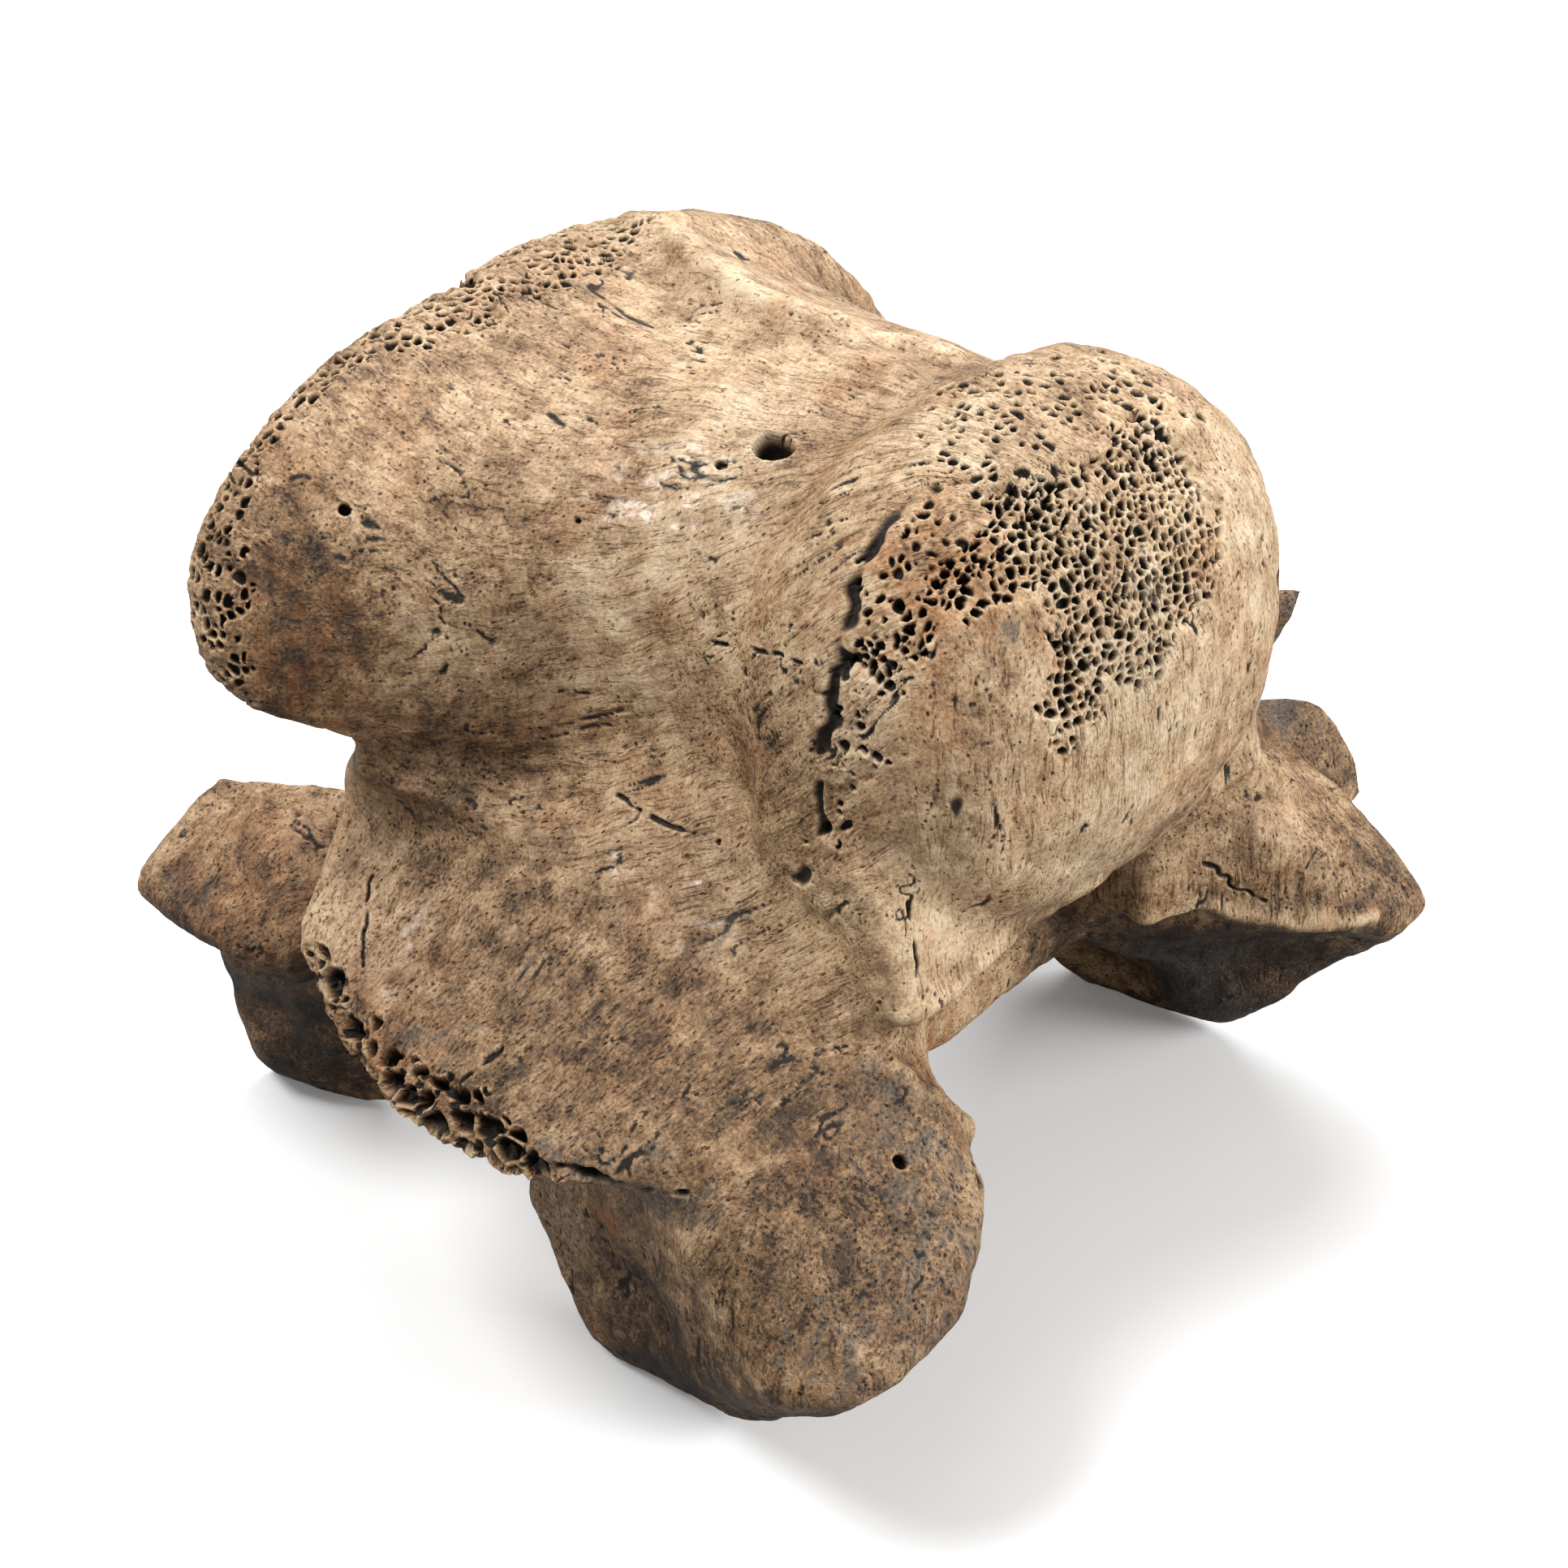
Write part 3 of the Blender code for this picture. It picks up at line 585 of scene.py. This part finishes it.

# The finish of the bone: a brown to cream stain in blotches, fine dark fibres and pores in the shell, dirt
# and painted shade in every hollow, charcoal and rust where they are marked, painted shade in the charcoal
# colours under the far foot, and a satin surface that is wet-looking on the flank. The sizes of the details
# are in repeats to the metre.
BLOTCHES, MOTTLE, GRAIN, SPECKS, PORES = 55.0, 260.0, 2300.0, 1300.0, 1500.0
FINE_FIBRES, WIDE_FIBRES = 2100.0, 650.0
WARM_PATCHES, RUST_PATCHES, SWIRL = 95.0, 420.0, 150.0
SWIRL_REACH = 0.003
FIBRE_SHRINK = 0.14
BUMP_HEIGHT = 0.00028
DEEPEST_BROWN = (0.016, 0.010, 0.006)
PALEST_CREAM = (0.78, 0.62, 0.42)
BROWNS = (
    (0.20, (0.080, 0.041, 0.016)),
    (0.40, (0.240, 0.136, 0.062)),
    (0.58, (0.420, 0.267, 0.145)),
    (0.78, (0.620, 0.438, 0.262)),
)
WARM_TINT = (0.80, 0.52, 0.30)
RUST = (0.42, 0.150, 0.032)
SOOT_AND_SHADE, ASH_AND_SHADE = (0.018, 0.016, 0.014), (0.095, 0.080, 0.066)
DIRT_AND_SHADE = (0.013, 0.007, 0.003)
finish = bpy.data.materials.new("weathered bone")
finish.use_nodes = True
tree = finish.node_tree
shader = tree.nodes["Principled BSDF"]
shader.inputs["Specular IOR Level"].default_value = 0.45


def add(kind, *wires, **settings):
    """A node with its settings, and wires given as (input, value or output)."""
    made = tree.nodes.new(kind)
    for name, value in settings.items():
        setattr(made, name, value)
    for name, value in wires:
        if isinstance(value, bpy.types.NodeSocket):
            tree.links.new(value, made.inputs[name])
        else:
            made.inputs[name].default_value = value
    return made


def math_of(kind, first, second):
    """The output of one Math node."""
    return add("ShaderNodeMath", (0, first), (1, second), operation=kind).outputs[0]


def vector_of(kind, first, second):
    """The output of one Vector Math node."""
    return add("ShaderNodeVectorMath", (0, first), (1, second), operation=kind).outputs[0]


def mark(name):
    """One of the marks on the skin."""
    return add("ShaderNodeAttribute", attribute_name=name).outputs["Fac"]


def between(value, low, high):
    """0 below low and 1 above high, smooth between them; with low above high, the other way round."""
    made = add("ShaderNodeMapRange", ("Value", value), interpolation_type="SMOOTHSTEP")
    turned = low > high
    made.inputs["From Min"].default_value = min(low, high)
    made.inputs["From Max"].default_value = max(low, high)
    made.inputs["To Min"].default_value = 1.0 if turned else 0.0
    made.inputs["To Max"].default_value = 0.0 if turned else 1.0
    return made.outputs["Result"]


def noise(vector, scale, detail, rough=0.6):
    """The grey value of a noise texture."""
    made = add("ShaderNodeTexNoise", ("Vector", vector), ("Scale", scale), ("Detail", detail))
    made.inputs["Roughness"].default_value = rough
    return made.outputs["Fac"]


def blend(factor, first, second, kind="MIX"):
    """Two colours mixed by a factor."""
    made = add("ShaderNodeMix", ("Factor", factor), data_type="RGBA", blend_type=kind)
    for name, value in (("A", first), ("B", second)):
        if isinstance(value, bpy.types.NodeSocket):
            tree.links.new(value, made.inputs[name])
        else:
            made.inputs[name].default_value = (*value, 1.0)
    return made.outputs["Result"]


place = add("ShaderNodeTexCoord").outputs["Object"]
drift = add("ShaderNodeAttribute", attribute_name="flow").outputs["Vector"]
swirl = add("ShaderNodeTexNoise", ("Vector", place), ("Scale", SWIRL), ("Detail", 2.0)).outputs["Color"]
moved = vector_of("SUBTRACT", swirl, (0.5, 0.5, 0.5))
moved = vector_of("MULTIPLY", moved, (SWIRL_REACH, SWIRL_REACH, SWIRL_REACH))
waved = vector_of("ADD", drift, moved)
ways = add("ShaderNodeAttribute", attribute_name="fibres").outputs["Vector"]
ways = add("ShaderNodeSeparateXYZ", ("Vector", ways)).outputs
streaks = 0.0
coarse_streaks = 0.0
for axis in range(3):
    stretch = [1.0, 1.0, 1.0]
    stretch[axis] = FIBRE_SHRINK
    drawn = add("ShaderNodeMapping", ("Vector", waved), ("Scale", stretch)).outputs[0]
    fine = math_of("MULTIPLY", noise(drawn, FINE_FIBRES, 3.0), ways[axis])
    wide = math_of("MULTIPLY", noise(drawn, WIDE_FIBRES, 2.0), ways[axis])
    streaks = math_of("ADD", fine, streaks)
    coarse_streaks = math_of("ADD", wide, coarse_streaks)

blotches = noise(place, BLOTCHES, 6.0, 0.65)
mottle = noise(place, MOTTLE, 6.0, 0.7)
grain = noise(place, GRAIN, 4.0, 0.7)
cells = add("ShaderNodeTexVoronoi", ("Vector", waved), ("Scale", PORES))
chance = add("ShaderNodeSeparateColor", ("Color", cells.outputs["Color"])).outputs["Red"]
pores = math_of("MULTIPLY", between(cells.outputs["Distance"], 0.34, 0.14), between(chance, 0.26, 0.16))
specks = between(noise(place, SPECKS, 3.0, 0.75), 0.36, 0.29)
lines = between(streaks, 0.44, 0.32)
wide_lines = between(coarse_streaks, 0.42, 0.28)

tone = math_of("ADD", mark("light"), 0.55)
for value, amount in ((blotches, 0.95), (mottle, 1.05), (grain, 1.0), (coarse_streaks, 0.38)):
    tone = math_of("ADD", tone, math_of("MULTIPLY", math_of("SUBTRACT", value, 0.5), amount))
tone = math_of("ADD", tone, math_of("MULTIPLY", mark("worn"), 0.36))
for value, amount in ((lines, 0.17), (wide_lines, 0.08), (pores, 0.34), (specks, 0.22)):
    tone = math_of("SUBTRACT", tone, math_of("MULTIPLY", value, amount))
tones = add("ShaderNodeValToRGB", ("Fac", tone))
ramp = tones.color_ramp
ramp.elements[0].position = 0.0
ramp.elements[0].color = (*DEEPEST_BROWN, 1.0)
ramp.elements[1].position = 1.0
ramp.elements[1].color = (*PALEST_CREAM, 1.0)
for position, shade in BROWNS:
    ramp.elements.new(position).color = (*shade, 1.0)
colour = tones.outputs["Color"]
warmth = math_of("MULTIPLY", between(noise(place, WARM_PATCHES, 4.0), 0.50, 0.68), 0.35)
colour = blend(warmth, colour, WARM_TINT, "MULTIPLY")
rusty = math_of("MULTIPLY", mark("rust"), between(noise(place, RUST_PATCHES, 4.0), 0.38, 0.62))
colour = blend(rusty, colour, RUST)
# Charcoal in soot and ash colours, which also paints shade under the far foot near the floor.
charcoal_and_shade = mark("charcoal_and_shade")
burnt_and_shaded = math_of("MULTIPLY", math_of("SUBTRACT", mottle, 0.52), 1.8)
burnt_and_shaded = math_of("ADD", burnt_and_shaded, math_of("MULTIPLY", math_of("SUBTRACT", coarse_streaks, 0.5), 2.2))
burnt_and_shaded = between(math_of("ADD", burnt_and_shaded, charcoal_and_shade), 0.25, 0.75)
burnt_and_shaded = math_of("MULTIPLY", burnt_and_shaded, between(charcoal_and_shade, 0.0, 0.2))
sooty_and_shaded = blend(between(grain, 0.35, 0.65), SOOT_AND_SHADE, ASH_AND_SHADE)
colour = blend(math_of("MULTIPLY", burnt_and_shaded, 0.74), colour, sooty_and_shaded)
# Dirt and painted shade: the marked hollows, cracks and holes turn deep brown.
colour = blend(between(mark("pit"), 0.04, 0.65), colour, DIRT_AND_SHADE)
tree.links.new(colour, shader.inputs["Base Color"])

wet = math_of("MULTIPLY", mark("gloss"), between(mottle, 0.40, 0.55))
tree.links.new(math_of("MULTIPLY", wet, 0.85), shader.inputs["Coat Weight"])
shader.inputs["Coat Roughness"].default_value = 0.16
roughness = math_of("ADD", 0.42, math_of("MULTIPLY", grain, 0.22))
roughness = math_of("SUBTRACT", roughness, math_of("MULTIPLY", wet, 0.33))
roughness = math_of("ADD", roughness, math_of("MULTIPLY", mark("pit"), 0.2))
tree.links.new(roughness, shader.inputs["Roughness"])

relief = math_of("MULTIPLY", grain, 0.55)
for value, amount in ((lines, -0.55), (wide_lines, -0.45), (pores, -1.0), (mottle, 0.9), (streaks, 0.7)):
    relief = math_of("ADD", relief, math_of("MULTIPLY", value, amount))
bump = add("ShaderNodeBump", ("Height", relief), ("Strength", 1.0), ("Distance", BUMP_HEIGHT))
tree.links.new(bump.outputs["Normal"], shader.inputs["Normal"])

# The fourteen parts of the bone, each a closed piece of the skin that stands for one solid. They meet at the
# same planes as the solids do, and are one bone: the shade runs on over the joins. Each row is a part, two
# corners of its box, the box's tip in degrees, and its slot. The arch's roof takes what no box holds.
PARTS = (
    ("cranial_head", (-40.8, -89.5, 53.0), (41.2, -24.5, 140.0), 0.0, "pale_bone"),
    ("caudal_rim", (-89.8, 14.5, 54.0), (90.2, 70.5, 140.0), 0.0, "pale_bone"),
    ("ventral_crest", (-45.8, -24.5, 101.0), (46.2, 14.5, 140.0), 0.0, "pale_bone"),
    ("vertebral_body", (-45.8, -24.5, 54.0), (46.2, 14.5, 101.0), 0.0, "pale_bone"),
    ("transverse_process_left", (-89.8, -43.5, 34.0), (-39.8, 31.5, 75.0), 0.0, "dark_bone"),
    ("transverse_process_right", (40.2, -43.5, 34.0), (90.2, 31.5, 75.0), 0.0, "dark_bone"),
    ("prezygapophysis_left", (-89.8, -99.5, -20.0), (-17.8, 1.5, 43.0), -16.0, "dark_bone"),
    ("prezygapophysis_right", (18.2, -99.5, -20.0), (90.2, 1.5, 43.0), -16.0, "dark_bone"),
    ("postzygapophysis_left", (-89.8, 32.5, -10.0), (-17.8, 90.5, 54.0), 0.0, "dark_bone"),
    ("postzygapophysis_right", (18.2, 32.5, -10.0), (90.2, 90.5, 54.0), 0.0, "dark_bone"),
    ("pedicle_left", (-59.8, -69.5, 33.0), (-16.8, 50.5, 60.0), 0.0, "dark_bone"),
    ("pedicle_right", (17.2, -69.5, 33.0), (60.2, 50.5, 60.0), 0.0, "dark_bone"),
    ("spinous_process", (-11.8, -19.5, -10.0), (12.2, 50.5, 18.0), 0.0, "dark_bone"),
)


def boxed(low, high, tipped):
    """A box between two corners in millimetres, tipped about X at its middle by an angle in degrees."""
    low, high = np.array(low) / TO_MM, np.array(high) / TO_MM
    builder = bmesh.new()
    spread = Matrix.Diagonal((*(high - low), 1.0))
    tip = Matrix.Rotation(math.radians(tipped), 4, "X")
    bmesh.ops.create_cube(builder, size=1.0, matrix=Matrix.Translation((low + high) / 2.0) @ tip @ spread)
    mesh = bpy.data.meshes.new("box")
    builder.to_mesh(mesh)
    builder.free()
    thing = bpy.data.objects.new("box", mesh)
    bpy.context.scene.collection.objects.link(thing)
    return thing


def cut_with(mesh, cutter, operation):
    """What is left of a mesh inside or outside a box."""
    thing = bpy.data.objects.new("cut", mesh)
    bpy.context.scene.collection.objects.link(thing)
    cut = thing.modifiers.new("cut", "BOOLEAN")
    cut.operation = operation
    cut.solver = "MANIFOLD"
    cut.object = cutter
    left = bpy.data.meshes.new_from_object(thing.evaluated_get(bpy.context.evaluated_depsgraph_get()))
    bpy.data.objects.remove(thing, do_unlink=True)
    return left


def values_of(layer, width):
    """An attribute's values as an array, one row for each point."""
    values = np.empty(len(layer.data) * width, np.float32)
    layer.data.foreach_get("vector" if width == 3 else "value", values)
    return values.reshape(-1, width)


def mended(part):
    """Give the part's new points their marks: each takes the mean of its neighbours on the skin. The part is
    shaded with the whole skin's normals, so that no join shows, and flat on its cut faces."""
    count = len(part.vertices)
    edges = np.empty(len(part.edges) * 2, np.int32)
    part.edges.foreach_get("vertices", edges)
    edges = np.concatenate([edges.reshape(-1, 2), edges.reshape(-1, 2)[:, ::-1]])
    known = values_of(part.attributes["skin"], 1)[:, 0] > 0.5
    useful = edges[known[edges[:, 1]] & ~known[edges[:, 0]]]
    share = 1.0 / np.maximum(np.bincount(useful[:, 0], minlength=count), 1)
    kept = {}
    for title, width in [(name, 1) for name in marks] + [(name, 3) for name in (*vectors, "shading")]:
        layer = part.attributes[title]
        values = values_of(layer, width)
        mean = [np.bincount(useful[:, 0], column[useful[:, 1]], count) * share for column in values.T]
        kept[title] = np.where(known[:, None], values, np.stack(mean, axis=1)).astype(np.float32)
        layer.data.foreach_set("vector" if width == 3 else "value", kept[title].ravel())
    corners = np.empty(len(part.loops), np.int32)
    part.loops.foreach_get("vertex_index", corners)
    sizes = np.empty(len(part.polygons), np.int32)
    part.polygons.foreach_get("loop_total", sizes)
    flat = np.empty(len(part.polygons) * 3, np.float32)
    part.polygons.foreach_get("normal", flat)
    polygon = np.repeat(np.arange(len(sizes)), sizes)
    cut_face = np.bincount(polygon, known[corners]) < 0.5
    shading = kept["shading"]
    shading /= np.maximum(np.linalg.norm(shading, axis=1, keepdims=True), 1e-6)
    shading = np.where(cut_face[polygon, None], flat.reshape(-1, 3)[polygon], shading[corners])
    for title in ("skin", "shading"):
        part.attributes.remove(part.attributes[title])
    part.shade_smooth()
    part.normals_split_custom_set(shading)


skin = bpy.data.meshes.new("skin")
skin.vertices.add(len(points))
skin.vertices.foreach_set("co", (points / TO_MM).astype(np.float32).ravel())
skin.loops.add(faces.size)
skin.loops.foreach_set("vertex_index", faces.astype(np.int32).ravel())
skin.polygons.add(len(faces))
skin.polygons.foreach_set("loop_start", np.arange(0, faces.size, 3, dtype=np.int32))
skin.update(calc_edges=True)
for title, values in list(marks.items()) + [("skin", np.ones(len(points)))]:
    layer = skin.attributes.new(title, "FLOAT", "POINT")
    layer.data.foreach_set("value", values.astype(np.float32))
for title, values in list(vectors.items()) + [("shading", normals)]:
    layer = skin.attributes.new(title, "FLOAT_VECTOR", "POINT")
    layer.data.foreach_set("vector", values.astype(np.float32).ravel())

meshes = []
for name, low, high, tipped, slot in PARTS:
    cutter = boxed(low, high, tipped)
    meshes.append((name, slot, cut_with(skin, cutter, "INTERSECT")))
    skin = cut_with(skin, cutter, "DIFFERENCE")
    bpy.data.objects.remove(cutter, do_unlink=True)
meshes.append(("lamina", "dark_bone", skin))
for name, slot, mesh in meshes:
    mended(mesh)
    mesh.materials.clear()
    mesh.materials.append(finish)
    piece = bpy.data.objects.new(name + "_skin", mesh)
    bpy.context.scene.collection.objects.link(piece)
    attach(piece, "root")
    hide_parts(name)
